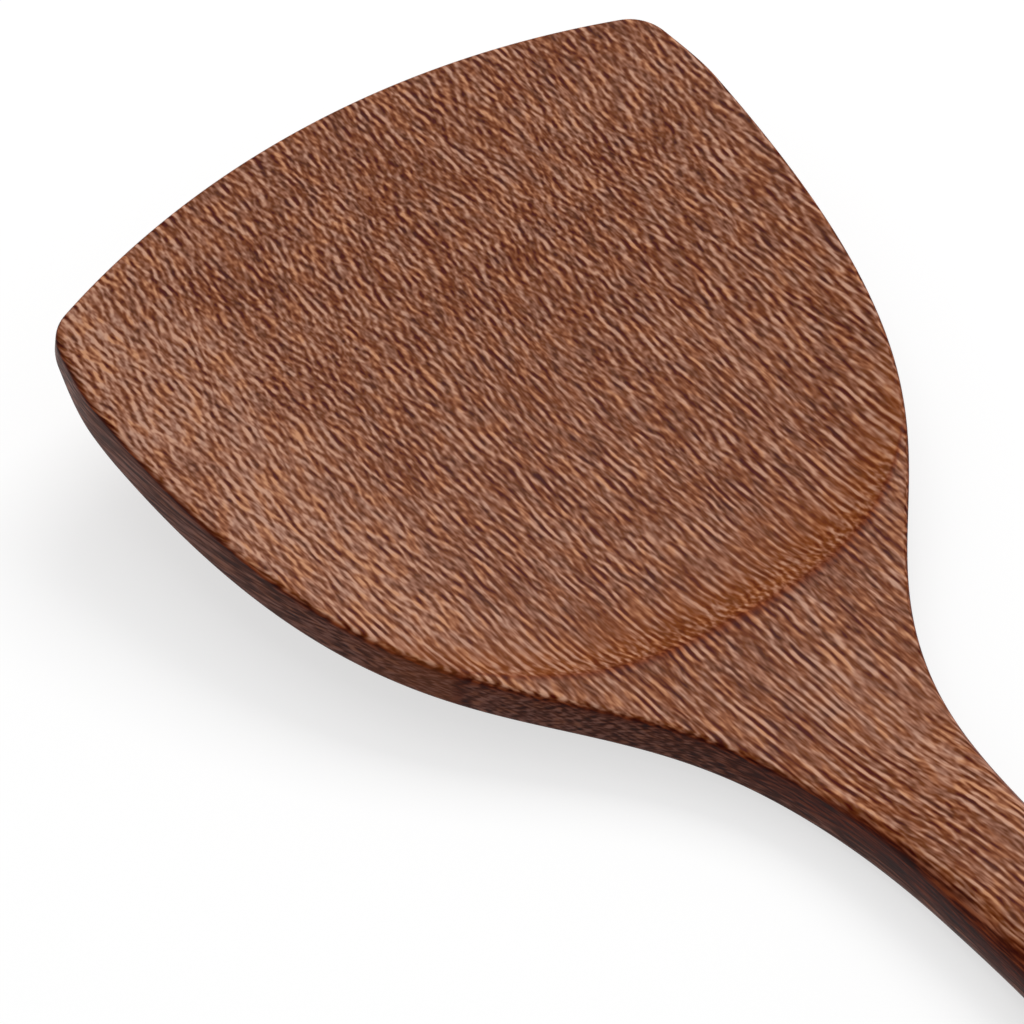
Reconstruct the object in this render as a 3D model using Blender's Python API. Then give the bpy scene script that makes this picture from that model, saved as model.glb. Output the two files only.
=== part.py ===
"""Wooden wok spatula, carved from one blank of dark streaked hardwood.

A broad blade with a bowed front edge and a shallow dish on top runs into a shoulder, a narrow neck and a
long handle with a hanging hole. The piece is drawn from its front edge, with u along its length, v across
and w up, and is then laid on the straight underside of its handle. Sizes are in metres, thicknesses are
measured along w, and the piece is the same on both sides of its middle line.
"""

import math

import bmesh
import bpy
import numpy as np

# Plan of the blade
BLADE_WIDTH = 0.095
FRONT_BOW = 0.0091
CORNER_RADIUS = 0.008
CORNER_FLARE = math.radians(11.0)
CORNER_TUCK = 0.0013
WIDEST_BEHIND_CORNER = 0.0085
FLANK_FULLNESS = 0.079

# Plan of the neck and handle
PLAN_LENGTH = 0.360
NECK_WIDTH = 0.0164
NECK_AT = 0.142
NECK_STARTS_BEFORE = 0.030
NECK_SWEEP = 0.062
HANDLE_SWELL = 0.060
END_WIDTH = 0.027
END_BOW = 0.0045
END_CORNER_RADIUS = 0.008

# Side profile
SOLE_FLAT = 0.006
SOLE_RADIUS = 0.600
HANDLE_RISE = math.radians(13.5)
RIM_THICKNESS = 0.0072
NECK_THICKNESS = 0.010
END_THICKNESS = 0.0125
FRONT_EDGE_THICKNESS = 0.003
FRONT_BEVEL_LENGTH = 0.012

# Dish of the blade and the shoulder behind it
DISH_DEPTH = 0.0022
DISH_RUN = 0.055
DISH_FLATNESS = 2.4
COVE_LENGTH = 0.009
SHOULDER_AT = 0.0925
SHOULDER_SAG = 0.0125
SHOULDER_ROUNDNESS = 2.8

# Rounding of the edges
TOP_EDGE_RADIUS = 0.0008
UNDER_EDGE_RADIUS = 0.0012
HANDLE_EDGE_RADIUS = 0.004
HANDLE_ROUNDING_GROWS_OVER = 0.045
MOST_ROUNDING = 0.9

# Hanging hole
HOLE_DIAMETER = 0.008
HOLE_INSET = 0.016
HOLE_EASING = 0.0008

# Fineness of the surface
COLUMNS = 24
CORNER_RUNGS = 4
BLADE_RUNGS = 26
COVE_RUNGS = 6
NECK_RUNGS = 22
HANDLE_RUNGS = 20
ROUNDING_STEPS = 3
HOLE_SIDES = 32
CURVE_STEPS = 400
COLUMN_SPREAD = math.radians(70.0)

# Wood
WOOD_COLOUR = (0.115, 0.045, 0.026, 1.0)
WOOD_ROUGHNESS = 0.55

# Places that follow from the sizes
ARC_RUN = SOLE_RADIUS * math.sin(HANDLE_RISE)
NECK_STARTS = NECK_AT - NECK_STARTS_BEFORE
SHOULDER_ENDS = SHOULDER_AT - SHOULDER_SAG
CORNER_WIDTH = BLADE_WIDTH - 2 * CORNER_TUCK
HOLE_AT = PLAN_LENGTH - HOLE_INSET


def clear_scene():
    """Remove whatever objects the file opened with."""
    for found in list(bpy.data.objects):
        bpy.data.objects.remove(found, do_unlink=True)


def ease(t):
    """A smooth step from 0 to 1, level at both ends."""
    t = np.clip(t, 0.0, 1.0)
    return t * t * (3.0 - 2.0 * t)


def bezier(start, leave, arrive, end):
    """Points of a cubic Bezier curve."""
    t = np.linspace(0.0, 1.0, CURVE_STEPS)[:, None]
    s = 1.0 - t
    return s**3 * start + 3 * s * s * t * leave + 3 * s * t * t * arrive + t**3 * end


class RoundedEnd:
    """A bowed end with rounded corners, followed by the angle of its outward normal to the middle line.

    Distances are measured back from the middle of the bow. The last angle is where the side starts.
    """

    def __init__(self, width, bow, corner_radius, flare):
        self.bow_radius = ((width / 2) ** 2 + bow**2) / (2 * bow)
        self.corner_radius = corner_radius
        self.last = math.pi / 2 - flare
        self.centre_v = width / 2 - corner_radius * math.cos(flare)
        reach = math.sqrt((self.bow_radius - corner_radius) ** 2 - self.centre_v**2)
        self.centre_u = self.bow_radius - reach
        self.corner_starts = math.atan2(self.centre_v, reach)
        self.middle = (self.corner_starts + self.last) / 2

    def point(self, angle):
        """Distance back and distance from the middle line."""
        angle = np.asarray(angle, float)
        on_corner = angle > self.corner_starts
        radius = np.where(on_corner, self.corner_radius, self.bow_radius)
        centre_u = np.where(on_corner, self.centre_u, self.bow_radius)
        centre_v = np.where(on_corner, self.centre_v, 0.0)
        return np.stack([centre_u - radius * np.cos(angle), centre_v + radius * np.sin(angle)], -1)

    def angles_across(self, shares):
        """Normal angles at shares of the way from the middle line to the middle of the corner."""
        v = shares * self.point(self.middle)[1]
        on_bow = v <= self.bow_radius * math.sin(self.corner_starts)
        bow_angle = np.arcsin(np.clip(v / self.bow_radius, -1.0, 1.0))
        corner_angle = np.arcsin(np.clip((v - self.centre_v) / self.corner_radius, -1.0, 1.0))
        return np.where(on_bow, bow_angle, corner_angle)


FRONT = RoundedEnd(CORNER_WIDTH, FRONT_BOW, CORNER_RADIUS, CORNER_FLARE)
END = RoundedEnd(END_WIDTH, END_BOW, END_CORNER_RADIUS, 0.0)
CORNER_ENDS = FRONT.point(FRONT.last)
WIDEST_AT = CORNER_ENDS[0] + WIDEST_BEHIND_CORNER
END_STARTS = PLAN_LENGTH - END.point(END.last)[0]


def side_curve():
    """One side of the plan, from the middle of the front corner to the middle of the end corner.

    Returns the run along the curve, its points and its outward normals.
    """
    front = FRONT.point(np.linspace(FRONT.middle, FRONT.last, CURVE_STEPS))
    end = END.point(np.linspace(END.last, END.middle, CURVE_STEPS))
    end[:, 0] = PLAN_LENGTH - end[:, 0]
    widest = np.array([WIDEST_AT, BLADE_WIDTH / 2])
    neck = np.array([NECK_AT, NECK_WIDTH / 2])
    third = WIDEST_BEHIND_CORNER / 3
    leave_corner = CORNER_ENDS + [third * math.cos(CORNER_FLARE), third * math.sin(CORNER_FLARE)]
    pieces = [
        bezier(CORNER_ENDS, leave_corner, widest - [third, 0.0], widest),
        bezier(widest, widest + [FLANK_FULLNESS, 0.0], neck - [NECK_SWEEP, 0.0], neck),
        bezier(neck, neck + [HANDLE_SWELL, 0.0], end[0] - [HANDLE_SWELL, 0.0], end[0]),
        end,
    ]
    points = np.vstack([front] + [piece[1:] for piece in pieces])
    along = np.gradient(points, axis=0)
    along /= np.hypot(along[:, 0], along[:, 1])[:, None]
    normals = np.stack([-along[:, 1], along[:, 0]], -1)
    steps = np.hypot(*np.diff(points, axis=0).T)
    return np.concatenate([[0.0], np.cumsum(steps)]), points, normals


def stations(run, points):
    """Lengths along the side at which a rung crosses the piece, and which rung is the shoulder."""
    stops = [CORNER_ENDS[0], SHOULDER_ENDS - COVE_LENGTH, SHOULDER_ENDS, NECK_AT, END_STARTS, points[-1, 0]]
    counts = [CORNER_RUNGS, BLADE_RUNGS, COVE_RUNGS, NECK_RUNGS, HANDLE_RUNGS, CORNER_RUNGS]
    lengths = [0.0]
    for stop, count in zip(np.interp(stops, points[:, 0], run), counts):
        lengths.extend(np.linspace(lengths[-1], stop, count + 1)[1:])
    return np.array(lengths), sum(counts[:3])


def underside(u):
    """Height of the underside: a short flat, one long arc, then the straight handle."""
    arc = np.clip(u - SOLE_FLAT, 0.0, ARC_RUN)
    straight = np.clip(u - SOLE_FLAT - ARC_RUN, 0.0, None)
    return SOLE_RADIUS - np.sqrt(SOLE_RADIUS**2 - arc**2) + straight * math.tan(HANDLE_RISE)


def thickness(u):
    """Thickness between the underside and the rim, before the front bevel."""
    neck = (NECK_THICKNESS - RIM_THICKNESS) * ease((u - NECK_STARTS) / (NECK_AT - NECK_STARTS))
    handle = (END_THICKNESS - NECK_THICKNESS) * np.clip((u - NECK_AT) / (PLAN_LENGTH - NECK_AT), 0.0, 1.0)
    return RIM_THICKNESS + neck + handle


def front_bevel(u, v):
    """What the bevel under the front edge takes away, running along the bow of that edge."""
    bow = FRONT.bow_radius - np.sqrt(FRONT.bow_radius**2 - v**2)
    left = np.clip(1.0 - (u - bow) / FRONT_BEVEL_LENGTH, 0.0, 1.0)
    return (RIM_THICKNESS - FRONT_EDGE_THICKNESS) * left


def edge_radius(points, at_blade):
    """Rounding of the border, small on the blade and full on the handle, within its wall."""
    u, v = points[:, 0], points[:, 1]
    grown = ease((u - NECK_STARTS) / HANDLE_ROUNDING_GROWS_OVER)
    half_wall = (thickness(u) - front_bevel(u, v)) / 2
    return np.minimum(at_blade + (HANDLE_EDGE_RADIUS - at_blade) * grown, half_wall * MOST_ROUNDING)


class Outline:
    """The closed outline of the plan, with rungs that cross the piece from side to side."""

    def __init__(self):
        run, points, normals = side_curve()
        lengths, self.shoulder = stations(run, points)
        self.side = np.stack([np.interp(lengths, run, points[:, k]) for k in (0, 1)], -1)
        turned = np.stack([np.interp(lengths, run, normals[:, k]) for k in (0, 1)], -1)
        self.side_normals = turned / np.hypot(turned[:, 0], turned[:, 1])[:, None]
        spread = np.linspace(-COLUMN_SPREAD, COLUMN_SPREAD, COLUMNS + 1)
        self.shares = np.sin(spread) / math.sin(COLUMN_SPREAD)
        self.front, self.front_normals = self.cap(FRONT, 0.0, 1.0)
        self.end, self.end_normals = self.cap(END, PLAN_LENGTH, -1.0)

    def cap(self, rounded_end, apex, facing):
        """Points and outward normals across the front or the end, one for each column."""
        angles = rounded_end.angles_across(np.abs(self.shares))
        sign = np.sign(self.shares)
        points = rounded_end.point(angles)
        points = np.stack([apex + facing * points[:, 0], sign * points[:, 1]], -1)
        normals = np.stack([-facing * np.cos(angles), sign * np.sin(angles)], -1)
        return points, normals

    def border(self):
        """Points and outward normals once round, in the order of perimeter()."""
        mirrored = np.array([1.0, -1.0])
        points = [self.front, self.side[1:-1], self.end[::-1], self.side[-2:0:-1] * mirrored]
        normals = [
            self.front_normals,
            self.side_normals[1:-1],
            self.end_normals[::-1],
            self.side_normals[-2:0:-1] * mirrored,
        ]
        return np.concatenate(points), np.concatenate(normals)

    def lattice(self, at_blade):
        """Plan points of a face, drawn in from the outline by its edge's rounding."""
        front = self.front - self.front_normals * edge_radius(self.front, at_blade)[:, None]
        side = self.side - self.side_normals * edge_radius(self.side, at_blade)[:, None]
        end = self.end - self.end_normals * edge_radius(self.end, at_blade)[:, None]
        u_side = side[:, :1]
        u = u_side + self.lead(u_side, front, end) * (1.0 - self.rung_shape(u_side, front, end))
        v = side[:, 1:] * self.shares
        v[0], v[-1] = front[:, 1], end[:, 1]
        return u, v

    def lead(self, u_side, front, end):
        """How far the middle of each rung lies behind its ends: less than nothing near the front edge."""
        front_lead = front[:, 0].min() - u_side[0, 0]
        end_lead = end[:, 0].max() - u_side[-1, 0]
        to_shoulder = ease((u_side - u_side[0, 0]) / (SHOULDER_ENDS - u_side[0, 0]))
        past_shoulder = ease((u_side - SHOULDER_ENDS) / (NECK_AT - SHOULDER_ENDS))
        to_end = ease((u_side - NECK_AT) / (u_side[-1, 0] - NECK_AT))
        shoulder = SHOULDER_SAG * to_shoulder * (1.0 - past_shoulder)
        return front_lead * (1.0 - to_shoulder) + shoulder + end_lead * to_end

    def rung_shape(self, u_side, front, end):
        """How each rung bows, from 0 at its middle to 1 at its ends."""
        shoulder_bow = np.abs(self.shares) ** SHOULDER_ROUNDNESS
        front_bow = (front[:, 0] - front[:, 0].min()) / np.ptp(front[:, 0])
        end_bow = (end[:, 0].max() - end[:, 0]) / np.ptp(end[:, 0])
        near_front = 1.0 - ease((u_side - u_side[0, 0]) / (SHOULDER_ENDS - u_side[0, 0]))
        near_end = ease((u_side - NECK_AT) / (u_side[-1, 0] - NECK_AT))
        return shoulder_bow + near_front * (front_bow - shoulder_bow) + near_end * (end_bow - shoulder_bow)

    def dish(self, u):
        """Depth of the hollow: none at the rims and front edge, ending in a cove at the shoulder."""
        across = 1.0 - np.abs(self.shares) ** DISH_FLATNESS
        along = ease((u - u[0]) / DISH_RUN)
        cove = np.clip((u[self.shoulder] - u) / COVE_LENGTH, 0.0, 1.0)
        return DISH_DEPTH * across * along * (1.0 - (1.0 - cove) ** 2)


def perimeter(grid):
    """The border of a grid of rungs and columns, once round."""
    return np.concatenate([grid[0], grid[1:, -1], grid[-1, -2::-1], grid[-2:0:-1, 0]])


def rounding_rings(outline, face, at_blade, down):
    """Rings of the rounded edge next to a face, the last of them at the full outline."""
    points, normals = outline.border()
    radius = edge_radius(points, at_blade)
    height = perimeter(face)[:, 2]
    rings = []
    for angle in np.linspace(0.0, math.pi / 2, ROUNDING_STEPS + 1)[1:]:
        plan = points - normals * (radius * (1.0 - math.sin(angle)))[:, None]
        rings.append(np.column_stack([plan, height - down * radius * (1.0 - math.cos(angle))]))
    return rings


def carved_surfaces():
    """The top face and the underside as grids of u, v, w, and the rings of the edge between them."""
    outline = Outline()
    u, v = outline.lattice(TOP_EDGE_RADIUS)
    top = np.stack([u, v, underside(u) + thickness(u) - outline.dish(u)], -1)
    u, v = outline.lattice(UNDER_EDGE_RADIUS)
    under = np.stack([u, v, underside(u) + front_bevel(u, v)], -1)
    rings = rounding_rings(outline, top, TOP_EDGE_RADIUS, 1.0)
    rings += rounding_rings(outline, under, UNDER_EDGE_RADIUS, -1.0)[::-1]
    return top, rings, under


def add_points(bm, points):
    """Vertices at points of u, v, w. The blade points along +X, and u runs back from its front edge."""
    return [bm.verts.new((-u, v, w)) for u, v, w in points]


def add_sheet(bm, grid):
    """Faces over a grid of points. Returns its vertices in the grid's order."""
    verts = np.array([add_points(bm, rung) for rung in grid], dtype=object)
    for i in range(len(grid) - 1):
        for j in range(len(grid[0]) - 1):
            bm.faces.new((verts[i, j], verts[i, j + 1], verts[i + 1, j + 1], verts[i + 1, j]))
    return verts


def add_band(bm, upper, lower):
    """Faces between two closed loops of as many vertices."""
    for k in range(len(upper)):
        bm.faces.new((upper[k], upper[k - 1], lower[k - 1], lower[k]))


def mesh_from(bm, name):
    """A mesh of what was built, with its faces turned outwards."""
    bmesh.ops.recalc_face_normals(bm, faces=bm.faces)
    mesh = bpy.data.meshes.new(name)
    bm.to_mesh(mesh)
    bm.free()
    return mesh


def carved_blank():
    """The closed body without its hole: two sheets, joined by the rings of the edge."""
    top, rings, under = carved_surfaces()
    bm = bmesh.new()
    loops = [perimeter(add_sheet(bm, top))]
    loops += [add_points(bm, ring) for ring in rings]
    loops.append(perimeter(add_sheet(bm, under)))
    for upper, lower in zip(loops, loops[1:]):
        add_band(bm, upper, lower)
    return mesh_from(bm, "spatula")


def hole_cutter(spatula):
    """A turned cutter for the hanging hole, square to the handle and flared to ease both mouths."""
    half = thickness(HOLE_AT) * math.cos(HANDLE_RISE) / 2
    radius = HOLE_DIAMETER / 2
    flared = radius + 2 * HOLE_EASING
    profile = [(0.0, half + HOLE_EASING), (flared, half + HOLE_EASING), (radius, half - HOLE_EASING)]
    profile += [(across, -up) for across, up in reversed(profile)]
    bm = bmesh.new()
    verts = [bm.verts.new((across, 0.0, up)) for across, up in profile]
    edges = [bm.edges.new(pair) for pair in zip(verts, verts[1:])]
    bmesh.ops.spin(bm, geom=verts + edges, axis=(0, 0, 1), cent=(0, 0, 0), angle=math.tau, steps=HOLE_SIDES)
    bmesh.ops.remove_doubles(bm, verts=bm.verts, dist=1e-6)
    cutter = bpy.data.objects.new("hole_cutter", mesh_from(bm, "hole_cutter"))
    bpy.context.collection.objects.link(cutter)
    cutter.parent = spatula
    cutter.location = (-HOLE_AT, 0.0, underside(HOLE_AT) + thickness(HOLE_AT) / 2)
    cutter.rotation_euler = (0.0, HANDLE_RISE, 0.0)
    cutter.hide_render = True
    cutter.display_type = "WIRE"
    return cutter


def wood():
    """Dark red-brown hardwood, sanded and lightly oiled."""
    material = bpy.data.materials.new("wenge_wood")
    material.use_nodes = True
    shader = material.node_tree.nodes["Principled BSDF"]
    shader.inputs["Base Color"].default_value = WOOD_COLOUR
    shader.inputs["Roughness"].default_value = WOOD_ROUGHNESS
    shader.inputs["Metallic"].default_value = 0.0
    return material


def lay_down(spatula):
    """Turn the piece onto the straight underside of its handle, with its box standing on the origin."""
    points = np.array([vertex.co for vertex in spatula.data.vertices])
    along = points[:, 0] * math.cos(HANDLE_RISE) - points[:, 2] * math.sin(HANDLE_RISE)
    up = points[:, 0] * math.sin(HANDLE_RISE) + points[:, 2] * math.cos(HANDLE_RISE)
    spatula.rotation_euler = (0.0, -HANDLE_RISE, 0.0)
    spatula.location = (-(along.min() + along.max()) / 2, 0.0, -up.min())


def build_spatula():
    """The whole piece."""
    mesh = carved_blank()
    mesh.materials.append(wood())
    mesh.shade_smooth()
    mesh.set_sharp_from_angle(angle=math.radians(40.0))
    spatula = bpy.data.objects.new("spatula", mesh)
    bpy.context.collection.objects.link(spatula)
    lay_down(spatula)
    hole = spatula.modifiers.new("hanging_hole", "BOOLEAN")
    hole.operation = "DIFFERENCE"
    hole.solver = "EXACT"
    hole.object = hole_cutter(spatula)


clear_scene()
build_spatula()
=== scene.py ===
"""Carved wooden wok spatula: its fine surface, its wood, and the studio it lies in."""

import math
from functools import partial

import bpy
import numpy as np
from bpy.props import FloatProperty, PointerProperty, StringProperty
from mathutils import Euler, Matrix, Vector


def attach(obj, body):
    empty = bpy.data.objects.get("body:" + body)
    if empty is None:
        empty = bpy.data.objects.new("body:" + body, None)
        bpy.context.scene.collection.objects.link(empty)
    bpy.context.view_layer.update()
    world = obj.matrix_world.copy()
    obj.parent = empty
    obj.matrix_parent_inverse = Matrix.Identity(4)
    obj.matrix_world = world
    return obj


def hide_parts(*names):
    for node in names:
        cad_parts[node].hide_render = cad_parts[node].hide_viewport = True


bl_info = {
    "name": "Carved wok spatula",
    "version": (1, 0, 0),
    "blender": (4, 5, 0),
    "location": "View3D > Sidebar > Spatula",
    "description": "Carves a one-piece wooden wok spatula with streaked hardwood and sets its studio",
    "category": "Add Mesh",
}

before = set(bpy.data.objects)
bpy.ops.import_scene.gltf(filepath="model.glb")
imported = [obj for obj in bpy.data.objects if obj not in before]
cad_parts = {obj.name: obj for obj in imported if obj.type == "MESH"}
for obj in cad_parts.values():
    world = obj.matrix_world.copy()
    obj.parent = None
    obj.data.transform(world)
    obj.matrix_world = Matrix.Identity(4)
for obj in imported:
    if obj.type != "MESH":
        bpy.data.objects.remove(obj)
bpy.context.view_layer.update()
MM = 0.001

# Fineness of the carved surface: its columns, the rungs in each stretch of its length, and steps of curves
COLUMNS = 96
RUNGS = {"corner": 12, "blade": 120, "cove": 30, "neck": 84, "handle": 70, "hole": 44, "end": 12}
ROUNDING_STEPS = 7
CURVE_STEPS = 600

# Columns lie at the sines of evenly spread angles up to this one, so they are closer together at the sides
COLUMN_SPREAD = math.radians(72.0)

# The most that a rounding takes of its half of the wall
MOST_ROUNDING = 0.9

# How far from the hole's centre its own closer rungs reach, in hole diameters
HOLE_RUNGS_REACH = 1.25

# How far from the hole's middle the grid is drawn round it, in half blocks
HOLE_PULL_REACH = 3.0

# Stands in for a distance of nothing where a direction is divided by it
TINY = 1e-9

# The value of the attribute "wrap" on the underside
UNDER_WRAP = 3.0

# The value that Blender's noise swings about
NOISE_MIDDLE = 0.5

# Noises in the plank, by the size of their features in millimetres along, across and down through it
SLOW_BENDS = (30.0, 14.0, 9.0)
QUICK_BENDS = (8.0, 2.2, 1.4)
CLOUDS = (7.0, 3.0, 2.0)
DASHES = (14.0, 2.0, 0.42)
FIBRES = (1.5, 0.32, 0.18)
PATCHES = (3.4, 1.3, 1.0)

# How far the two bends push the grain, in millimetres along, across and down
SLOW_BEND_REACH = (0.0, 2.0, 1.2)
QUICK_BEND_REACH = (0.0, 0.45, 0.3)

# Shifts that give clouds and patches their own part of the noise, and the two halves of the wave theirs
CLOUD_SHIFT = 60.0
PATCH_SHIFT = 40.0
WAVE_SHIFTS = {"SINE": 5.0, "COSINE": 25.0}

# The figure is a number that rises from dark fibre to pale bands: its middle, and each noise's swing in it
MIDDLE_TONE = 0.497
CLOUD_SWING = 0.22
DASH_SWING = 1.09
FIBRE_SWING = 0.5

# Two stripes are paler: a broad one along the blade's left margin and the handle's left side, and a thin
# one on the right half of the neck, which is painted light. In millimetres, where each comes in and where
# it goes out again
BROAD_STRIPE_LIFT = 0.09
BROAD_STRIPE_ACROSS = ((8.0, 24.0), (31.0, 37.0))
# Painted light: the right half of the neck is lifted paler, as a crowned top would be lit by the side lamp
NECK_PAINTED_LIGHT_LIFT = 0.07
NECK_PAINTED_LIGHT_ACROSS = ((-17.0, -11.0), (-7.0, -2.0))
NECK_PAINTED_LIGHT_ALONG = ((-60.0, 0.0), (78.0, 92.0))

# Where each tone of the wood lies on the figure
TONES = {"deep": 0.18, "dark": 0.41, "brown": 0.50, "tan": 0.59, "pale": 0.82}

# Where the noise of the patches brings each tint in and out again, with far ends that it never reaches
DUSKY_PATCHES = ((0.54, 0.68), (2.0, 3.0))
RUSTY_PATCHES = ((-2.0, -1.0), (0.32, 0.46))

# Slate-grey cores: in which patches they lie, where on the figure they come in, and their share at most
SLATE_PATCHES = ((0.58, 0.70), (2.0, 3.0))
SLATE_FIGURE = (0.50, 0.34)
SLATE_SHARE = 0.2

# Where the painted shade of the edge comes in and goes out, by "wrap"
WALL_PAINTED_SHADE = ((0.35, 0.95), (2.3, 2.9))
ROUNDING_PAINTED_SHADE = ((0.25, 0.75), (0.9, 1.25))
HANDLE_WALL_PAINTED_SHADE = ((0.9, 1.25), (1.5, 2.0))

# Where the handle wall's painted shade, the cove's wood and the crease's painted shade lie, in millimetres
# behind the crease
HANDLE_WALL_SHADE_GROWS = (18.0, 42.0)
COVE_WOOD = ((-15.0, -4.0), (0.0, 1.0))
COVE_SHARE = 0.25
# Painted shade: a dark line along the shoulder's crease, where shade falls at the foot of the step
CREASE_PAINTED_SHADE = ((-1.3, 0.1), (0.3, 1.9))

# Depth of the open grain in metres, how strongly it shows, and the faint gloss of wiped-on oil
GRAIN_DEPTH = 0.0001
GRAIN_STRENGTH = 0.25
OIL_IOR = 1.5
OIL_SPECULAR = 0.05

# The studio, in metres: its floor, its lamps and where they aim, and its camera, turned in degrees
FLOOR_SIDE = 12.0
TOP_LAMP_AT = (1.12, -0.30, 2.90)
TOP_LAMP_SIDES = (2.6, 2.6)
SIDE_LAMP_AT = (0.90, -1.38, 1.84)
SIDE_LAMP_SIDES = (1.6, 1.2)
LAMPS_AIM = (0.08, 0.0, 0.0)
CAMERA_AT = (-0.70764, 0.52933, 0.99341)
CAMERA_TURN = (44.755, 3.5155, -125.4207)
CAMERA_SEES_TO = 100.0

# Width of the camera's sensor, in millimetres
SENSOR_WIDTH = 36.0

# The floor's card: its white, how much of it is a glow, and the grey that the wood is lit by
WHITE = (1.0, 1.0, 1.0, 1.0)
CARD_GLOW = 0.65
CARD_GREY = (0.6, 0.6, 0.6, 1.0)


def size(name, description, mm):
    """A length property whose default is given in millimetres."""
    return FloatProperty(
        name=name, description=description, default=mm * MM, min=0.0, subtype="DISTANCE", unit="LENGTH"
    )


def hex_colour(name, description, value):
    """A colour property, kept as an sRGB hex value."""
    return StringProperty(name=name, description=description, default=value)


class SpatulaShape(bpy.types.PropertyGroup):
    """Sizes of the carving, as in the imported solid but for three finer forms.

    The front corners are tighter and the widest place lies a little further behind them. The front edge has
    a curved relief and not a straight bevel. The shoulder's bow fades over a length of its own.
    """

    blade_width: size("Blade width", "Widest place of the blade", 95.0)
    front_bow: size("Front bow", "How far the middle of the front edge stands ahead of its ends", 9.1)
    corner_radius: size("Corner radius", "Rounding of the two front corners", 6.0)
    corner_flare: FloatProperty(
        name="Corner flare", description="Angle at which a corner runs into its flank",
        default=math.radians(11.0), subtype="ANGLE", unit="ROTATION",
    )
    corner_tuck: size("Corner tuck", "How far each corner lies inside the widest line", 1.3)
    widest_behind: size("Widest place", "Distance from the end of the corner to the widest place", 9.5)
    flank_fullness: size("Flank fullness", "How far the flank stays broad behind the widest place", 79.0)
    plan_length: size("Length", "Length in plan, from front edge to handle end", 360.0)
    neck_width: size("Neck width", "Narrowest place, where the handle starts", 16.4)
    neck_at: size("Neck place", "Distance of the neck from the front edge", 142.0)
    neck_starts_before: size("Neck run", "Length over which the neck thickens", 30.0)
    neck_sweep: size("Neck sweep", "How far ahead of the neck the flank runs in", 62.0)
    handle_swell: size("Handle swell", "How slowly the handle starts to widen", 60.0)
    end_width: size("End width", "Width of the handle at its end", 27.0)
    end_bow: size("End bow", "How far the handle's end bows out", 4.5)
    end_corner_radius: size("End corner radius", "Rounding of the handle's end corners", 8.0)
    sole_flat: size("Sole", "Flat stretch of the underside at the front", 6.0)
    sole_radius: size("Sole radius", "Radius of the long arc between sole and handle", 600.0)
    handle_rise: FloatProperty(
        name="Handle rise", description="Angle between the front of the blade and the handle",
        default=math.radians(13.5), subtype="ANGLE", unit="ROTATION",
    )
    rim_thickness: size("Rim thickness", "Thickness of the blade at its rim", 7.2)
    neck_thickness: size("Neck thickness", "Thickness at the neck", 10.0)
    end_thickness: size("End thickness", "Thickness at the handle's end", 12.5)
    front_edge: size("Front edge", "Thickness of the relieved front edge", 3.0)
    relief_length: size("Front relief", "Length of the curved relief under the front edge", 18.0)
    dish_depth: size("Dish depth", "Depth of the hollow of the blade", 2.2)
    dish_run: size("Dish run", "Length over which the hollow deepens behind the front edge", 55.0)
    dish_flatness: FloatProperty(
        name="Dish flatness", description="Higher keeps the hollow flat and its flanks short",
        default=2.4, min=1.0,
    )
    cove_length: size("Cove length", "Length of the cove in front of the shoulder", 9.0)
    shoulder_at: size("Shoulder place", "Distance of the shoulder's middle from the front edge", 92.5)
    shoulder_sag: size("Shoulder sag", "How far the shoulder's middle lies behind its ends", 12.5)
    shoulder_roundness: FloatProperty(
        name="Shoulder roundness", description="Higher keeps the shoulder straight in the middle",
        default=2.8, min=1.0,
    )
    shoulder_fades_over: size("Shoulder fade", "Length behind the shoulder over which its bow fades", 40.0)
    top_edge_radius: size("Top edge radius", "Rounding of the blade's top edge", 0.8)
    under_edge_radius: size("Under edge radius", "Rounding of the blade's lower edge", 1.2)
    handle_edge_radius: size("Handle edge radius", "Rounding of the handle's edges", 4.0)
    rounding_grows_over: size("Rounding run", "Length over which the rounding grows", 45.0)
    hole_diameter: size("Hole diameter", "Width of the hanging hole", 8.0)
    hole_inset: size("Hole inset", "Distance of the hanging hole from the handle's end", 16.0)
    hole_easing: size("Hole easing", "Rounding of the hole's mouths", 0.8)


class SpatulaWood(bpy.types.PropertyGroup):
    """Colours and figure of the wood."""

    pale: hex_colour("Pale bands", "Cores of the pale bands of soft tissue", "#C39379")
    tan: hex_colour("Tan wood", "Lighter wood beside the pale bands", "#946048")
    brown: hex_colour("Brown wood", "Fibre of middle tone", "#804E37")
    dark: hex_colour("Dark wood", "Dark bands of dense fibre", "#6E3815")
    deep: hex_colour("Darkest fibre", "Cores of the dark bands", "#480A00")
    slate: hex_colour("Slate cores", "Cores of the dark bands in the duskiest patches", "#38221F")
    dusky: hex_colour("Dusky patches", "Tint of the greyer patches", "#F2F5FC")
    rusty: hex_colour("Rusty patches", "Tint of the redder patches", "#FFF1D8")
    # Painted shade: multiplies the wall and its lower rounding darker, as they lie in shade
    wall: hex_colour("Wall tint", "Tint of the wall and of its lower rounding", "#B39FA5")
    # Painted shade: the upper rounding and the handle's wall are multiplied dark, where they turn from the
    # light
    rounding_shade: hex_colour("Burnish tint", "Tint of the upper rounding and of the handle's wall", "#D8955D")
    cove: hex_colour("Cove wood", "Yellower cross-cut fibre in the cove", "#8A4614")
    # Painted shade: the tint that darkens the shoulder's crease
    crease: hex_colour("Crease tint", "Tint of the oil held in the shoulder's crease", "#D8B8A4")
    band_spacing: FloatProperty(
        name="Band spacing", description="Distance from one pale band to the next across the grain",
        default=1.14 * MM, min=0.2 * MM, subtype="DISTANCE", unit="LENGTH", precision=5,
    )
    grain_turn: FloatProperty(
        name="Grain turn", description="Angle between the grain and the tool's length",
        default=math.radians(-4.6), subtype="ANGLE", unit="ROTATION",
    )
    roughness: FloatProperty(
        name="Roughness", description="Roughness of the sanded and oiled surface",
        default=0.40, min=0.0, max=1.0, subtype="FACTOR",
    )


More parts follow.
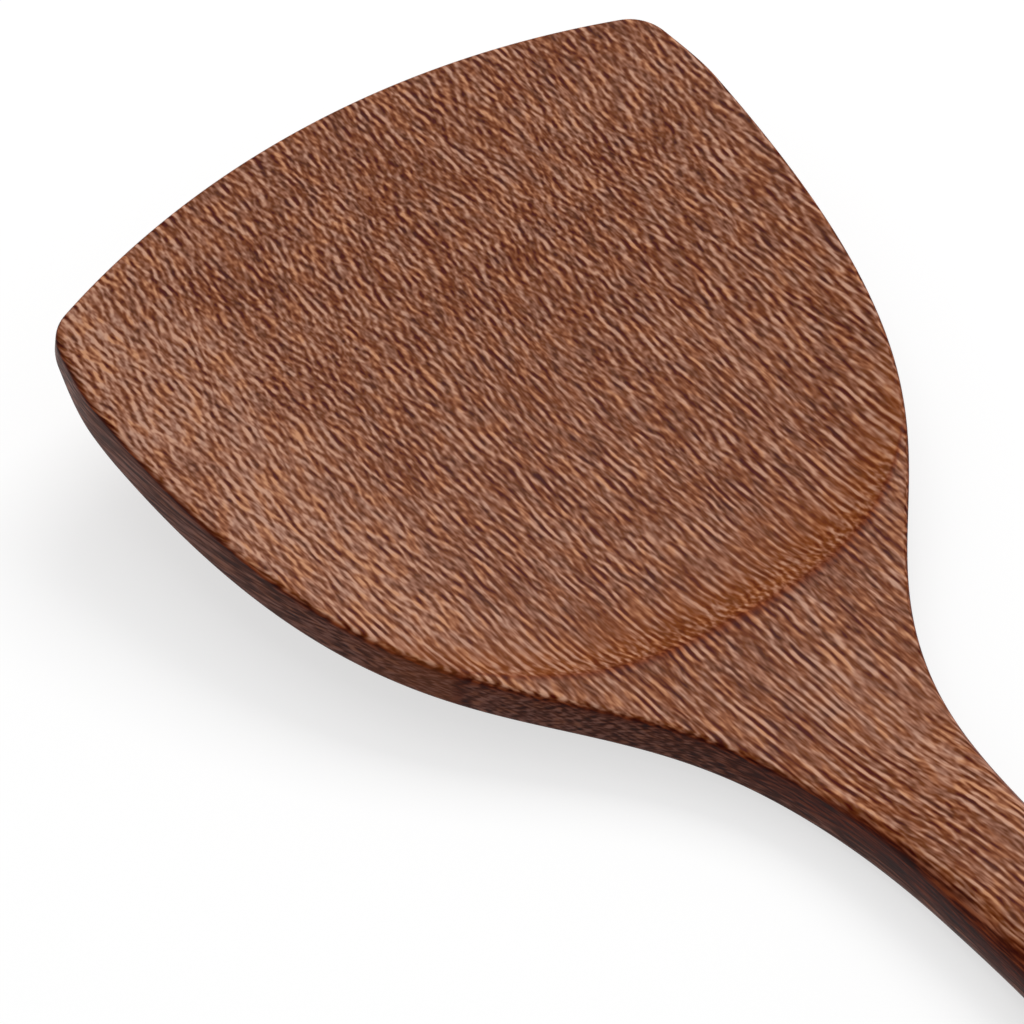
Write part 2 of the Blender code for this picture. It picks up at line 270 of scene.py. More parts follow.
class SpatulaStudio(bpy.types.PropertyGroup):
    """Light and camera."""

    sky: FloatProperty(
        name="Sky", description="Strength of the even light from all round", default=0.40, min=0.0
    )
    top: FloatProperty(
        name="Top light", description="Power of the broad lamp overhead", default=28.0, min=0.0,
        unit="POWER",
    )
    side: FloatProperty(
        name="Side light", description="Power of the lamp on the blade's right", default=34.0, min=0.0,
        unit="POWER",
    )
    lens: FloatProperty(
        name="Lens", description="Focal length on a 36 mm sensor", default=397.5, min=20.0, unit="CAMERA"
    )


def ease(t):
    """A smooth step: 3t^2 - 2t^3 with t held between 0 and 1."""
    t = np.clip(t, 0.0, 1.0)
    return t * t * (3.0 - 2.0 * t)


def bezier(start, leave, arrive, end):
    """Cubic Bezier curve: the four points weighted by the terms of (1 - t + t)^3."""
    t = np.linspace(0.0, 1.0, CURVE_STEPS)[:, None]
    s = 1.0 - t
    return s**3 * start + 3 * s * s * t * leave + 3 * s * t * t * arrive + t**3 * end


class RoundedEnd:
    """A bowed end between two rounded corners, as a function of its outward normal's angle.

    On the bow, a point is R (1 - cos a, sin a). On a corner, it is the corner's centre plus
    r (-cos a, sin a).
    """

    def __init__(self, width, bow, corner_radius, flare):
        self.bow_radius = ((width / 2) ** 2 + bow**2) / (2 * bow)
        self.corner_radius = corner_radius
        self.last = math.pi / 2 - flare
        self.centre_v = width / 2 - corner_radius * math.cos(flare)
        reach = math.sqrt((self.bow_radius - corner_radius) ** 2 - self.centre_v**2)
        self.centre_u = self.bow_radius - reach
        self.corner_starts = math.atan2(self.centre_v, reach)
        self.middle = (self.corner_starts + self.last) / 2

    def point(self, angle):
        """Distance back and distance from the middle line."""
        angle = np.asarray(angle, float)
        on_corner = angle > self.corner_starts
        radius = np.where(on_corner, self.corner_radius, self.bow_radius)
        centre_u = np.where(on_corner, self.centre_u, self.bow_radius)
        centre_v = np.where(on_corner, self.centre_v, 0.0)
        return np.stack([centre_u - radius * np.cos(angle), centre_v + radius * np.sin(angle)], -1)

    def angles_across(self, shares):
        """Normal angles at shares of the way from the middle line to the middle of the corner."""
        v = shares * self.point(self.middle)[1]
        on_bow = v <= self.bow_radius * math.sin(self.corner_starts)
        bow_angle = np.arcsin(np.clip(v / self.bow_radius, -1.0, 1.0))
        corner_angle = np.arcsin(np.clip((v - self.centre_v) / self.corner_radius, -1.0, 1.0))
        return np.where(on_bow, bow_angle, corner_angle)


def perimeter(grid):
    """The border of a grid of rungs and columns, once round."""
    return np.concatenate([grid[0], grid[1:, -1], grid[-1, -2::-1], grid[-2:0:-1, 0]])


class Carving:
    """The spatula's surface. u runs back from the front edge, v across and w up, in metres."""

    def __init__(self, sizes):
        self.s = sizes
        s = sizes
        self.front_end = RoundedEnd(
            s.blade_width - 2 * s.corner_tuck, s.front_bow, s.corner_radius, s.corner_flare
        )
        self.handle_end = RoundedEnd(s.end_width, s.end_bow, s.end_corner_radius, 0.0)
        self.corner_ends = self.front_end.point(self.front_end.last)
        self.arc_run = s.sole_radius * math.sin(s.handle_rise)
        self.neck_starts = s.neck_at - s.neck_starts_before
        self.shoulder_ends = s.shoulder_at - s.shoulder_sag
        self.hole_at = s.plan_length - s.hole_inset
        self.crease_rung = RUNGS["corner"] + RUNGS["blade"] + RUNGS["cove"]
        spread = np.linspace(-COLUMN_SPREAD, COLUMN_SPREAD, COLUMNS + 1)
        self.shares = np.sin(spread) / math.sin(COLUMN_SPREAD)
        self.trace_outline()

    def side_curve(self):
        """One side of the plan, from the middle of the front corner to the middle of the end corner."""
        s = self.s
        front = self.front_end.point(np.linspace(self.front_end.middle, self.front_end.last, CURVE_STEPS))
        end = self.handle_end.point(np.linspace(self.handle_end.last, self.handle_end.middle, CURVE_STEPS))
        end[:, 0] = s.plan_length - end[:, 0]
        widest = np.array([self.corner_ends[0] + s.widest_behind, s.blade_width / 2])
        neck = np.array([s.neck_at, s.neck_width / 2])
        third = s.widest_behind / 3
        leave = self.corner_ends + [third * math.cos(s.corner_flare), third * math.sin(s.corner_flare)]
        pieces = [
            bezier(self.corner_ends, leave, widest - [third, 0.0], widest),
            bezier(widest, widest + [s.flank_fullness, 0.0], neck - [s.neck_sweep, 0.0], neck),
            bezier(neck, neck + [s.handle_swell, 0.0], end[0] - [s.handle_swell, 0.0], end[0]),
            end,
        ]
        points = np.vstack([front] + [piece[1:] for piece in pieces])
        along = np.gradient(points, axis=0)
        along /= np.hypot(along[:, 0], along[:, 1])[:, None]
        normals = np.stack([-along[:, 1], along[:, 0]], -1)
        steps = np.hypot(*np.diff(points, axis=0).T)
        return np.concatenate([[0.0], np.cumsum(steps)]), points, normals

    def stations(self, run, points):
        """Lengths along the side at which rungs start, closest together in the cove and at the hole."""
        s = self.s
        around_hole = HOLE_RUNGS_REACH * s.hole_diameter
        stops = [
            (self.corner_ends[0], "corner"), (self.shoulder_ends - s.cove_length, "blade"),
            (self.shoulder_ends, "cove"), (s.neck_at, "neck"), (self.hole_at - around_hole, "handle"),
            (self.hole_at + around_hole, "hole"), (points[-1, 0], "end"),
        ]
        lengths = [0.0]
        for u, name in stops:
            reach = np.interp(u, points[:, 0], run)
            lengths.extend(np.linspace(lengths[-1], reach, RUNGS[name] + 1)[1:])
        return np.array(lengths)

    def trace_outline(self):
        """The outline's points and outward normals, by rungs at the sides and by columns at the ends."""
        run, points, normals = self.side_curve()
        lengths = self.stations(run, points)
        self.side = np.stack([np.interp(lengths, run, points[:, k]) for k in (0, 1)], -1)
        turned = np.stack([np.interp(lengths, run, normals[:, k]) for k in (0, 1)], -1)
        self.side_normals = turned / np.hypot(turned[:, 0], turned[:, 1])[:, None]
        self.front, self.front_normals = self.cap(self.front_end, 0.0, 1.0)
        self.end, self.end_normals = self.cap(self.handle_end, self.s.plan_length, -1.0)
        mirrored = np.array([1.0, -1.0])
        self.border = np.concatenate([
            self.front, self.side[1:-1], self.end[::-1], self.side[-2:0:-1] * mirrored,
        ])
        self.border_normals = np.concatenate([
            self.front_normals, self.side_normals[1:-1], self.end_normals[::-1],
            self.side_normals[-2:0:-1] * mirrored,
        ])

    def cap(self, rounded_end, apex, facing):
        """Points and outward normals across the front or the end, one for each column."""
        angles = rounded_end.angles_across(np.abs(self.shares))
        sign = np.sign(self.shares)
        points = rounded_end.point(angles)
        points = np.stack([apex + facing * points[:, 0], sign * points[:, 1]], -1)
        normals = np.stack([-facing * np.cos(angles), sign * np.sin(angles)], -1)
        return points, normals

    def underside(self, u):
        """Height of the underside: 0 on the sole, R - sqrt(R^2 - a^2) on the arc, then a slope."""
        s = self.s
        arc = np.clip(u - s.sole_flat, 0.0, self.arc_run)
        straight = np.clip(u - s.sole_flat - self.arc_run, 0.0, None)
        return s.sole_radius - np.sqrt(s.sole_radius**2 - arc**2) + straight * math.tan(s.handle_rise)

    def thickness(self, u):
        """Rim thickness, eased up to the neck's, then growing evenly to the handle end's."""
        s = self.s
        neck = ease((u - self.neck_starts) / (s.neck_at - self.neck_starts))
        handle = np.clip((u - s.neck_at) / (s.plan_length - s.neck_at), 0.0, 1.0)
        return (
            s.rim_thickness
            + (s.neck_thickness - s.rim_thickness) * neck
            + (s.end_thickness - s.neck_thickness) * handle
        )

    def front_relief(self, u, v):
        """What the relief takes away: (1 - distance / length)^2 of its depth behind the front edge."""
        s = self.s
        bow = self.front_end.bow_radius - np.sqrt(self.front_end.bow_radius**2 - v**2)
        left = np.clip(1.0 - (u - bow) / s.relief_length, 0.0, 1.0)
        return (s.rim_thickness - s.front_edge) * left**2

    def edge_radius(self, points, at_blade):
        """Rounding of the border, small on the blade and full on the handle, within its wall."""
        u, v = points[:, 0], points[:, 1]
        grown = ease((u - self.neck_starts) / self.s.rounding_grows_over)
        half_wall = (self.thickness(u) - self.front_relief(u, v)) / 2
        radius = at_blade + (self.s.handle_edge_radius - at_blade) * grown
        return np.minimum(radius, half_wall * MOST_ROUNDING)

    def lattice(self, at_blade):
        """Plan points of a face: each rung bows from its ends by a share of its lead."""
        front = self.front - self.front_normals * self.edge_radius(self.front, at_blade)[:, None]
        side = self.side - self.side_normals * self.edge_radius(self.side, at_blade)[:, None]
        end = self.end - self.end_normals * self.edge_radius(self.end, at_blade)[:, None]
        u_side = side[:, :1]
        to_shoulder = ease((u_side - u_side[0, 0]) / (self.shoulder_ends - u_side[0, 0]))
        past_shoulder = ease((u_side - self.shoulder_ends) / self.s.shoulder_fades_over)
        to_end = ease((u_side - self.s.neck_at) / (u_side[-1, 0] - self.s.neck_at))
        lead = (
            (front[:, 0].min() - u_side[0, 0]) * (1.0 - to_shoulder)
            + self.s.shoulder_sag * to_shoulder * (1.0 - past_shoulder)
            + (end[:, 0].max() - u_side[-1, 0]) * to_end
        )
        shoulder_bow = np.abs(self.shares) ** self.s.shoulder_roundness
        front_bow = (front[:, 0] - front[:, 0].min()) / np.ptp(front[:, 0])
        end_bow = (end[:, 0].max() - end[:, 0]) / np.ptp(end[:, 0])
        bow = (
            shoulder_bow
            + (1.0 - to_shoulder) * (front_bow - shoulder_bow)
            + to_end * (end_bow - shoulder_bow)
        )
        u = u_side + lead * (1.0 - bow)
        v = side[:, 1:] * self.shares
        v[0], v[-1] = front[:, 1], end[:, 1]
        return u, v

    def dish(self, u):
        """Depth (1 - |share|^n) of the hollow, eased in from the front and ended by a parabolic cove."""
        across = 1.0 - np.abs(self.shares) ** self.s.dish_flatness
        along = ease((u - u[0]) / self.s.dish_run)
        cove = np.clip((u[self.crease_rung] - u) / self.s.cove_length, 0.0, 1.0)
        return self.s.dish_depth * across * along * (1.0 - (1.0 - cove) ** 2)

    def rounding(self, face, at_blade, down):
        """Quarter circles round the border, r (1 - sin a) in and r (1 - cos a) off the face's slope."""
        radius = self.edge_radius(self.border, at_blade)[:, None]
        start = perimeter(face)
        rings = []
        for a in np.linspace(0.0, math.pi / 2, ROUNDING_STEPS + 1)[1:]:
            plan = self.border - self.border_normals * radius * (1.0 - math.sin(a))
            climb = self.underside(plan[:, :1]) - self.underside(start[:, :1])
            rings.append(np.hstack([plan, start[:, 2:] + climb - down * radius * (1.0 - math.cos(a))]))
        return rings

    def faces_and_rings(self):
        """The top face and the underside as grids, and the rings of the edge between them."""
        s = self.s
        u, v = self.lattice(s.top_edge_radius)
        top = np.stack([u, v, self.underside(u) + self.thickness(u) - self.dish(u)], -1)
        u, v = self.lattice(s.under_edge_radius)
        under = np.stack([u, v, self.underside(u) + self.front_relief(u, v)], -1)
        rings = self.rounding(top, s.top_edge_radius, 1.0)
        rings += self.rounding(under, s.under_edge_radius, -1.0)[::-1]
        return top, rings, under


def laid_down(points, rise, offset):
    """Points of u, v, w turned onto the straight underside of the handle, in the frame's x, y, z."""
    u, v, w = np.moveaxis(points, -1, 0)
    x = -u * math.cos(rise) - w * math.sin(rise)
    z = -u * math.sin(rise) + w * math.cos(rise)
    return np.stack([x, v, z], -1) + offset


def hole_block(grid, centre, radius):
    """First and last rung and column of a block of cells, about as wide and long as the opening."""
    rungs = np.flatnonzero(np.abs(grid[:, COLUMNS // 2, 0] - centre[0]) <= radius)
    columns = np.flatnonzero(np.abs(grid[rungs[len(rungs) // 2], :, 1] - centre[1]) <= radius)
    return rungs[0], rungs[-1], columns[0], columns[-1]


def open_hole(grid, block, centre, radius):
    """Grid lines drawn round a circle of that radius, along the face's own slope.

    A point's share m is its distance from the block's middle in half blocks, the larger of the two. Up to
    m = 1 it goes all the way to m radii from the centre, further out it goes less of the way, and from the
    pull's reach on it stays.
    """
    i0, i1, j0, j1 = block
    rungs, columns = np.indices(grid.shape[:2])
    along = (rungs - (i0 + i1) / 2) / ((i1 - i0) / 2)
    across = (columns - (j0 + j1) / 2) / ((j1 - j0) / 2)
    share = np.maximum(np.abs(along), np.abs(across))
    direction = np.stack([-along, across], -1) / np.maximum(np.hypot(along, across), TINY)[..., None]
    pull = 1.0 - ease((share - 1.0) / (HOLE_PULL_REACH - 1.0))[..., None]
    target = centre + radius * share[..., None] * direction
    moved = (target - grid[..., :2]) * pull
    slope = (grid[i1, j0, 2] - grid[i0, j0, 2]) / (grid[i1, j0, 0] - grid[i0, j0, 0])
    return np.dstack([grid[..., :2] + moved, grid[..., 2] + slope * moved[..., 0]])


def hole_rings(top_loop, under_loop, centre, radius, easing):
    """Rings down the hole: a mouth of radius r + e (1 - sin a), a straight wall, and a mouth again."""
    angles = np.linspace(0.0, math.pi / 2, ROUNDING_STEPS + 1)[1:]

    def mouth(loop, down):
        away = loop[:, :2] - centre
        away /= np.hypot(away[:, 0], away[:, 1])[:, None]
        return [
            np.hstack([
                centre + away * (radius + easing * (1.0 - math.sin(a))),
                loop[:, 2:] - down * easing * (1.0 - math.cos(a)),
            ])
            for a in angles
        ]

    return mouth(top_loop, 1.0) + mouth(under_loop, -1.0)[::-1]


def quads_of(rows, columns, start, block):
    """Vertex numbers of a grid's faces, without the cells of the block."""
    i0, i1, j0, j1 = block
    number = start + np.arange(rows * columns).reshape(rows, columns)
    cells = np.stack([number[:-1, :-1], number[:-1, 1:], number[1:, 1:], number[1:, :-1]], -1)
    kept = np.ones(cells.shape[:2], bool)
    kept[i0:i1, j0:j1] = False
    return number, cells[kept]


def band(upper, lower):
    """Faces between two closed loops of as many vertices."""
    return np.stack([upper, lower, np.roll(lower, -1), np.roll(upper, -1)], -1)


def inside(block):
    """The part of a grid that a block of cells covers, its border included."""
    i0, i1, j0, j1 = block
    return slice(i0, i1 + 1), slice(j0, j1 + 1)


def resting_place(points, rise):
    """The shift that puts the tool's middle over the origin and its lowest point on the floor."""
    x, _, z = laid_down(points, rise, 0.0).T
    return np.array([-(x.min() + x.max()) / 2, 0.0, -z.min()])


def carve(sizes):
    """The whole closed surface, laid down as the solid is: points, faces and attributes."""
    carving = Carving(sizes)
    top, rings, under = carving.faces_and_rings()
    past = top[..., 0] - top[carving.crease_rung, :, 0]
    far = np.full_like(past, sizes.plan_length)
    everything = np.vstack([top.reshape(-1, 3), *rings, under.reshape(-1, 3)])
    offset = resting_place(everything, sizes.handle_rise)
    top, under = (laid_down(grid, sizes.handle_rise, offset) for grid in (top, under))
    rings = [laid_down(ring, sizes.handle_rise, offset) for ring in rings]
    middle = carving.underside(carving.hole_at) + carving.thickness(carving.hole_at) / 2
    centre = laid_down(np.array([carving.hole_at, 0.0, middle]), sizes.handle_rise, offset)[:2]
    radius = sizes.hole_diameter / 2
    mouth = radius + sizes.hole_easing
    block = hole_block(top, centre, mouth)
    top, under = (open_hole(grid, block, centre, mouth) for grid in (top, under))
    top_loop, under_loop = (perimeter(grid[inside(block)]) for grid in (top, under))
    bore = hole_rings(top_loop, under_loop, centre, radius, sizes.hole_easing)
    return closed((top, under), (past, far), block, rings, bore)


def closed(grids, pasts, block, rings, bore):
    """Both faces, joined by the rings of the edge and of the hole: points, faces and attributes.

    The attribute "wrap" is 0 on the top face, 0 to 1 over the upper rounding, 1 to 2 down the wall, 2 to 3
    over the lower rounding and 3 on the underside. "past_shoulder" is the distance behind the crease. The
    underside and the hole count as the tool's whole length behind it.
    """
    past, far = pasts
    rows, columns = past.shape
    hole = inside(block)
    top, top_faces = quads_of(rows, columns, 0, block)
    under, under_faces = quads_of(rows, columns, past.size, block)
    points = [grid.reshape(-1, 3) for grid in grids]
    faces = [top_faces, under_faces[:, ::-1]]
    wrap = [np.zeros(past.size), np.full(past.size, UNDER_WRAP)]
    behind = [past.ravel(), far.ravel()]
    walls = [
        (rings, perimeter(top), perimeter(under), perimeter(past), 1),
        (bore, perimeter(top[hole]), perimeter(under[hole]), perimeter(far[hole]), -1),
    ]
    turned = np.linspace(0.0, 1.0, ROUNDING_STEPS + 1)[1:]
    turned = np.concatenate([turned, UNDER_WRAP - turned[::-1]])
    for loops, first, last, distances, turn in walls:
        start = sum(len(part) for part in points)
        between = start + np.arange(len(loops) * len(first)).reshape(len(loops), -1)
        numbers = [first, *between, last]
        points.extend(loops)
        faces.extend(band(upper, lower)[:, ::turn] for upper, lower in zip(numbers, numbers[1:]))
        wrap.append(np.repeat(turned, len(first)))
        behind.append(np.tile(distances, len(loops)))
    values = {"wrap": np.concatenate(wrap), "past_shoulder": np.concatenate(behind)}
    return np.vstack(points), np.vstack(faces), values


def mesh_from(name, points, faces, values):
    """A mesh of quads with its attributes, smooth all over and without the points that no face uses."""
    used = np.unique(faces)
    number = np.zeros(len(points), np.int64)
    number[used] = np.arange(len(used))
    mesh = bpy.data.meshes.new(name)
    mesh.vertices.add(len(used))
    mesh.vertices.foreach_set("co", points[used].astype(np.float32).ravel())
    mesh.loops.add(faces.size)
    mesh.loops.foreach_set("vertex_index", number[faces].astype(np.int32).ravel())
    mesh.polygons.add(len(faces))
    mesh.polygons.foreach_set("loop_start", np.arange(0, faces.size, 4, dtype=np.int32))
    mesh.update(calc_edges=True)
    for key, value in values.items():
        attribute = mesh.attributes.new(key, "FLOAT", "POINT")
        attribute.data.foreach_set("value", value[used].astype(np.float32))
    mesh.validate()
    mesh.shade_smooth()
    return mesh


def linear(hex_value):
    """An sRGB hex colour as linear RGBA, by the standard's own curve."""
    channels = [int(hex_value[k : k + 2], 16) / 255.0 for k in (1, 3, 5)]
    return [c / 12.92 if c <= 0.04045 else ((c + 0.055) / 1.055) ** 2.4 for c in channels] + [1.0]


def add_node(tree, kind, *values, **named):
    """Adds a shader node and returns its first output in use.

    Values and links fill the node's inputs in use, in their order. A name with a capital is an input too,
    and one without is a setting.
    """
    node = tree.nodes.new("ShaderNode" + kind)
    for name, value in named.items():
        if name[0].islower():
            setattr(node, name, value)
    filled = list(zip((socket for socket in node.inputs if socket.enabled), values))
    inputs = [(name.replace("_", " "), value) for name, value in named.items() if name[0].isupper()]
    filled += [(node.inputs[name], value) for name, value in inputs]
    for socket, value in filled:
        if isinstance(value, bpy.types.NodeSocket):
            tree.links.new(value, socket)
        else:
            socket.default_value = value
    return next((socket for socket in node.outputs if socket.enabled), None)


class SPATULA_OT_carve(bpy.types.Operator):
    """Carve the spatula and give it its wood"""

    bl_idname = "spatula.carve"
    bl_label = "Carve the spatula"

    def execute(self, context):
        scene = context.scene
        points, faces, values = carve(scene.spatula_shape)
        mesh = mesh_from("carved_spatula", points, faces, values)
        piece = bpy.data.objects.new("carved_spatula", mesh)
        scene.collection.objects.link(piece)
        mesh.materials.append(oiled_wenge(scene.spatula_wood))
        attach(piece, "root")
        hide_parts("spatula")
        return {"FINISHED"}


def bent(add, place, sizes, reach):
    """A place pushed aside by a noise with features of the given sizes, all in millimetres."""
    scaled = add("VectorMath", place, tuple(1.0 / size for size in sizes), operation="MULTIPLY")
    noise = add("TexNoise", Vector=scaled, Scale=1.0, Detail=0.0).node.outputs["Color"]
    swing = add("VectorMath", noise, (NOISE_MIDDLE,) * 3, operation="SUBTRACT")
    return add("VectorMath", swing, reach, place, operation="MULTIPLY_ADD")


def streaks(add, place, sizes, weight, base=0.0, shift=0.0):
    """A noise with features of the given sizes in millimetres, swinging by a weight about a base."""
    counts = tuple(1.0 / size for size in sizes)
    scaled = add("VectorMath", place, counts, (shift,) * 3, operation="MULTIPLY_ADD")
    noise = add("TexNoise", Vector=scaled, Scale=1.0, Detail=0.0)
    swing = add("Math", noise, NOISE_MIDDLE, operation="SUBTRACT")
    return add("Math", swing, weight, base, operation="MULTIPLY_ADD")


def ridge(add, value, rises, falls):
    """1 between two stretches of the value and 0 outside them, with a smooth rise and a smooth fall."""
    up = add("MapRange", value, rises[0], rises[1], 0.0, 1.0, interpolation_type="SMOOTHSTEP")
    down = add("MapRange", value, falls[0], falls[1], 1.0, 0.0, interpolation_type="SMOOTHSTEP")
    return add("Math", up, down, operation="MULTIPLY")


def tinted(add, colour, value, rises, falls, tint):
    """A colour multiplied by a tint where the value lies between the two stretches."""
    share = ridge(add, value, rises, falls)
    return add("Mix", share, colour, linear(tint), data_type="RGBA", blend_type="MULTIPLY")


def plank_figure(add, wood, slow, fibre):
    """A number at each place of the plank, which rises from dark fibre to pale bands.

    A wave across the grain gives the bands. Its sine and its cosine each have a noise as their strength,
    so the wave swells, fades and slips, and the bands break into dashes. Clouds and fibres are added to it.
    A broad stripe along the blade's left margin and the handle's left side is lifted paler, and a second,
    thin one on the right half of the neck is painted light: lifted paler as if that side caught the side
    lamp.
    """
    axes = add("SeparateXYZ", fibre).node.outputs
    broad = ridge(add, axes["Y"], *BROAD_STRIPE_ACROSS)
    figure = add("Math", broad, BROAD_STRIPE_LIFT, MIDDLE_TONE, operation="MULTIPLY_ADD")
    # Painted light on the right half of the neck: its figure is lifted paler there
    painted_neck_light = ridge(add, axes["Y"], *NECK_PAINTED_LIGHT_ACROSS)
    painted_neck_light = add("Math", painted_neck_light, ridge(add, axes["X"], *NECK_PAINTED_LIGHT_ALONG), operation="MULTIPLY")
    figure = add("Math", painted_neck_light, NECK_PAINTED_LIGHT_LIFT, figure, operation="MULTIPLY_ADD")
    figure = streaks(add, slow, CLOUDS, CLOUD_SWING, figure, CLOUD_SHIFT)
    figure = streaks(add, fibre, FIBRES, FIBRE_SWING, figure)
    turns = add("Math", axes["Y"], math.tau / (wood.band_spacing / MM), operation="MULTIPLY")
    for shape, shift in WAVE_SHIFTS.items():
        wave = add("Math", turns, operation=shape)
        strength = streaks(add, fibre, DASHES, DASH_SWING, shift=shift)
        figure = add("Math", strength, wave, figure, operation="MULTIPLY_ADD")
    return figure


def toned(add, wood, slow, figure):
    """The figure in five tones, with patches that are greyer, or redder, a few millimetres long.

    The greyest patches have slate-grey cores in their dark bands.
    """
    ramp = add("ValToRGB", figure).node
    elements = ramp.color_ramp.elements
    for _ in range(len(TONES) - len(elements)):
        elements.new(0.5)
    for element, (tone, position) in zip(elements, TONES.items()):
        element.position = position
        element.color = linear(getattr(wood, tone))
    patches = streaks(add, slow, PATCHES, 1.0, NOISE_MIDDLE, PATCH_SHIFT)
    colour = tinted(add, ramp.outputs["Color"], patches, *DUSKY_PATCHES, wood.dusky)
    colour = tinted(add, colour, patches, *RUSTY_PATCHES, wood.rusty)
    core = add("MapRange", figure, *SLATE_FIGURE, 0.0, SLATE_SHARE, interpolation_type="SMOOTHSTEP")
    core = add("Math", ridge(add, patches, *SLATE_PATCHES), core, operation="MULTIPLY")
    return add("Mix", core, colour, linear(wood.slate), data_type="RGBA")


def shaded_by_place(add, wood, colour):
    """The colour with the cove's cross-cut fibre, and painted shade on the edge and in the crease.

    The wall is painted darker as shade, and its upper rounding is painted dark as shade. Behind the blade
    that painted shade goes on down the wall. The cove shows yellower cross-cut fibre, and the crease behind
    it is painted darker as shade.
    """
    past = add("Attribute", attribute_name="past_shoulder").node.outputs["Fac"]
    past = add("Math", past, 1.0 / MM, operation="MULTIPLY")
    wrap = add("Attribute", attribute_name="wrap").node.outputs["Fac"]
    # Painted shade: the wall and its lower rounding are multiplied darker
    colour = tinted(add, colour, wrap, *WALL_PAINTED_SHADE, wood.wall)
    # Painted shade: the upper rounding, and behind the blade the upper wall too, multiplied dark
    behind = add("MapRange", past, *HANDLE_WALL_SHADE_GROWS, 0.0, 1.0, interpolation_type="SMOOTHSTEP")
    on_wall = add("Math", behind, ridge(add, wrap, *HANDLE_WALL_PAINTED_SHADE), operation="MULTIPLY")
    painted_edge_shade = add("Math", ridge(add, wrap, *ROUNDING_PAINTED_SHADE), on_wall, operation="ADD")
    colour = add("Mix", painted_edge_shade, colour, linear(wood.rounding_shade), data_type="RGBA", blend_type="MULTIPLY")
    in_cove = add("Math", ridge(add, past, *COVE_WOOD), COVE_SHARE, operation="MULTIPLY")
    colour = add("Mix", in_cove, colour, linear(wood.cove), data_type="RGBA")
    # Painted shade: the shoulder's crease is multiplied darker
    return tinted(add, colour, past, *CREASE_PAINTED_SHADE, wood.crease)


def oiled_wenge(wood):
    """Wenge heartwood, planed, carved, sanded and wiped with oil.

    Pale bands of soft tissue lie in the dark fibre about a millimetre apart. Where the cut runs along the
    plank they show as long lines, and where it slopes across it they break into short wavy dashes. The oil
    leaves the surface dry and satin, with hardly any gloss.
    """
    material = bpy.data.materials.new("sanded_oiled_wenge")
    material.use_nodes = True
    tree = material.node_tree
    tree.nodes.clear()
    add = partial(add_node, tree)

    # Millimetres in the plank, whose grain is turned a little from the tool's length and bends on its way
    place = add("TexCoord").node.outputs["Object"]
    plank = add("Mapping", place, Rotation=(0.0, 0.0, wood.grain_turn), Scale=(1.0 / MM,) * 3)
    slow = bent(add, plank, SLOW_BENDS, SLOW_BEND_REACH)
    fibre = bent(add, slow, QUICK_BENDS, QUICK_BEND_REACH)

    figure = plank_figure(add, wood, slow, fibre)
    colour = shaded_by_place(add, wood, toned(add, wood, slow, figure))
    relief = add("Bump", Strength=GRAIN_STRENGTH, Distance=GRAIN_DEPTH, Height=figure)
    shader = add(
        "BsdfPrincipled", colour, Roughness=wood.roughness, IOR=OIL_IOR, Specular_IOR_Level=OIL_SPECULAR,
        Normal=relief,
    )
    add("OutputMaterial", shader)
    return material


class SPATULA_OT_stage(bpy.types.Operator):
    """Lay the pale floor and set the lamps and the camera"""

    bl_idname = "spatula.stage"
    bl_label = "Set the studio"

    def execute(self, context):
        scene = context.scene
        studio = scene.spatula_studio
        bpy.ops.mesh.primitive_plane_add(size=FLOOR_SIDE, location=(0.0, 0.0, 0.0))
        floor = context.object
        floor.name = "floor"
        floor.data.materials.append(pale_floor())
        world = bpy.data.worlds.new("studio_sky")
        scene.world = world
        world.use_nodes = True
        background = world.node_tree.nodes["Background"]
        background.inputs["Color"].default_value = WHITE
        background.inputs["Strength"].default_value = studio.sky
        self.add_lamp(scene, "top_lamp", TOP_LAMP_AT, TOP_LAMP_SIDES, studio.top)
        self.add_lamp(scene, "side_lamp", SIDE_LAMP_AT, SIDE_LAMP_SIDES, studio.side)
        self.add_camera(scene, studio)
        scene.view_settings.view_transform = "Standard"
        return {"FINISHED"}

    def add_lamp(self, scene, name, place, sides, power):
        """A rectangular lamp turned to the spatula just behind its shoulder."""
        lamp = bpy.data.lights.new(name, "AREA")
        lamp.shape = "RECTANGLE"
        lamp.size, lamp.size_y = sides
        lamp.energy = power
        holder = bpy.data.objects.new(name, lamp)
        holder.location = place
        sight = Vector(LAMPS_AIM) - Vector(place)
        holder.rotation_euler = sight.to_track_quat("-Z", "Y").to_euler()
        scene.collection.objects.link(holder)

    def add_camera(self, scene, studio):
        """The photograph's viewpoint: over the handle's left side, looking along it at the blade."""
        camera = bpy.data.cameras.new("camera")
        camera.sensor_width = SENSOR_WIDTH
        camera.lens = studio.lens
        camera.clip_end = CAMERA_SEES_TO
        holder = bpy.data.objects.new("camera", camera)
        holder.location = CAMERA_AT
        holder.rotation_euler = Euler([math.radians(angle) for angle in CAMERA_TURN], "XYZ")
        scene.collection.objects.link(holder)
        scene.camera = holder


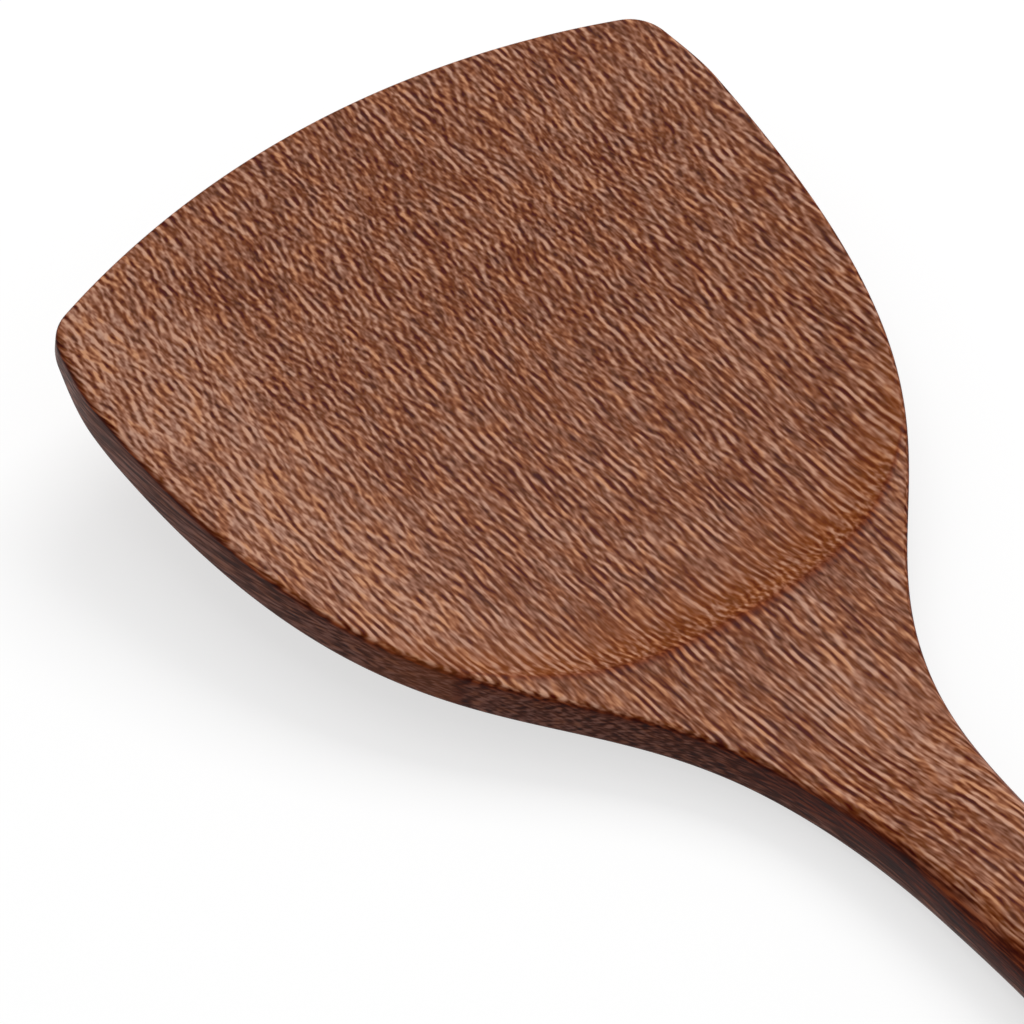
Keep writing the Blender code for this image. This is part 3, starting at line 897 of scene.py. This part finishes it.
def pale_floor():
    """Matt white studio card that glows a little, as the camera and a gloss or a glass see it.

    To all other rays it is a plain pale grey card, so the wood is lit by no more than one.
    """
    material = bpy.data.materials.new("matt_white_card")
    material.use_nodes = True
    tree = material.node_tree
    tree.nodes.clear()
    add = partial(add_node, tree)
    seen = add("MixShader", CARD_GLOW, add("BsdfDiffuse", WHITE), add("Emission", WHITE, 1.0))
    unseen = add("BsdfDiffuse", CARD_GREY)
    rays = add("LightPath").node.outputs
    sight = add("Math", rays["Is Camera Ray"], rays["Is Glossy Ray"], operation="MAXIMUM")
    sight = add("Math", sight, rays["Is Transmission Ray"], operation="MAXIMUM")
    add("OutputMaterial", add("MixShader", sight, unseen, seen))
    return material


class SPATULA_PT_panel(bpy.types.Panel):
    """Lists the spatula's operators and values in the 3D view's sidebar"""

    bl_label = "Carved spatula"
    bl_idname = "SPATULA_PT_panel"
    bl_space_type = "VIEW_3D"
    bl_region_type = "UI"
    bl_category = "Spatula"

    def draw(self, context):
        for operator in (SPATULA_OT_carve, SPATULA_OT_stage):
            self.layout.operator(operator.bl_idname)
        for name in ("spatula_shape", "spatula_wood", "spatula_studio"):
            group = getattr(context.scene, name)
            box = self.layout.box()
            for key in group.__annotations__:
                box.prop(group, key)


CLASSES = (
    SpatulaShape, SpatulaWood, SpatulaStudio, SPATULA_OT_carve, SPATULA_OT_stage, SPATULA_PT_panel,
)


def register():
    """Adds the classes to Blender, and a group of each kind to its scenes."""
    for cls in CLASSES:
        bpy.utils.register_class(cls)
    bpy.types.Scene.spatula_shape = PointerProperty(type=SpatulaShape)
    bpy.types.Scene.spatula_wood = PointerProperty(type=SpatulaWood)
    bpy.types.Scene.spatula_studio = PointerProperty(type=SpatulaStudio)


def unregister():
    """Takes the groups and the classes away again."""
    del bpy.types.Scene.spatula_studio
    del bpy.types.Scene.spatula_wood
    del bpy.types.Scene.spatula_shape
    for cls in reversed(CLASSES):
        bpy.utils.unregister_class(cls)


def main():
    """Builds the spatula in its studio."""
    register()
    bpy.ops.spatula.carve()
    bpy.ops.spatula.stage()


if __name__ == "__main__":
    main()
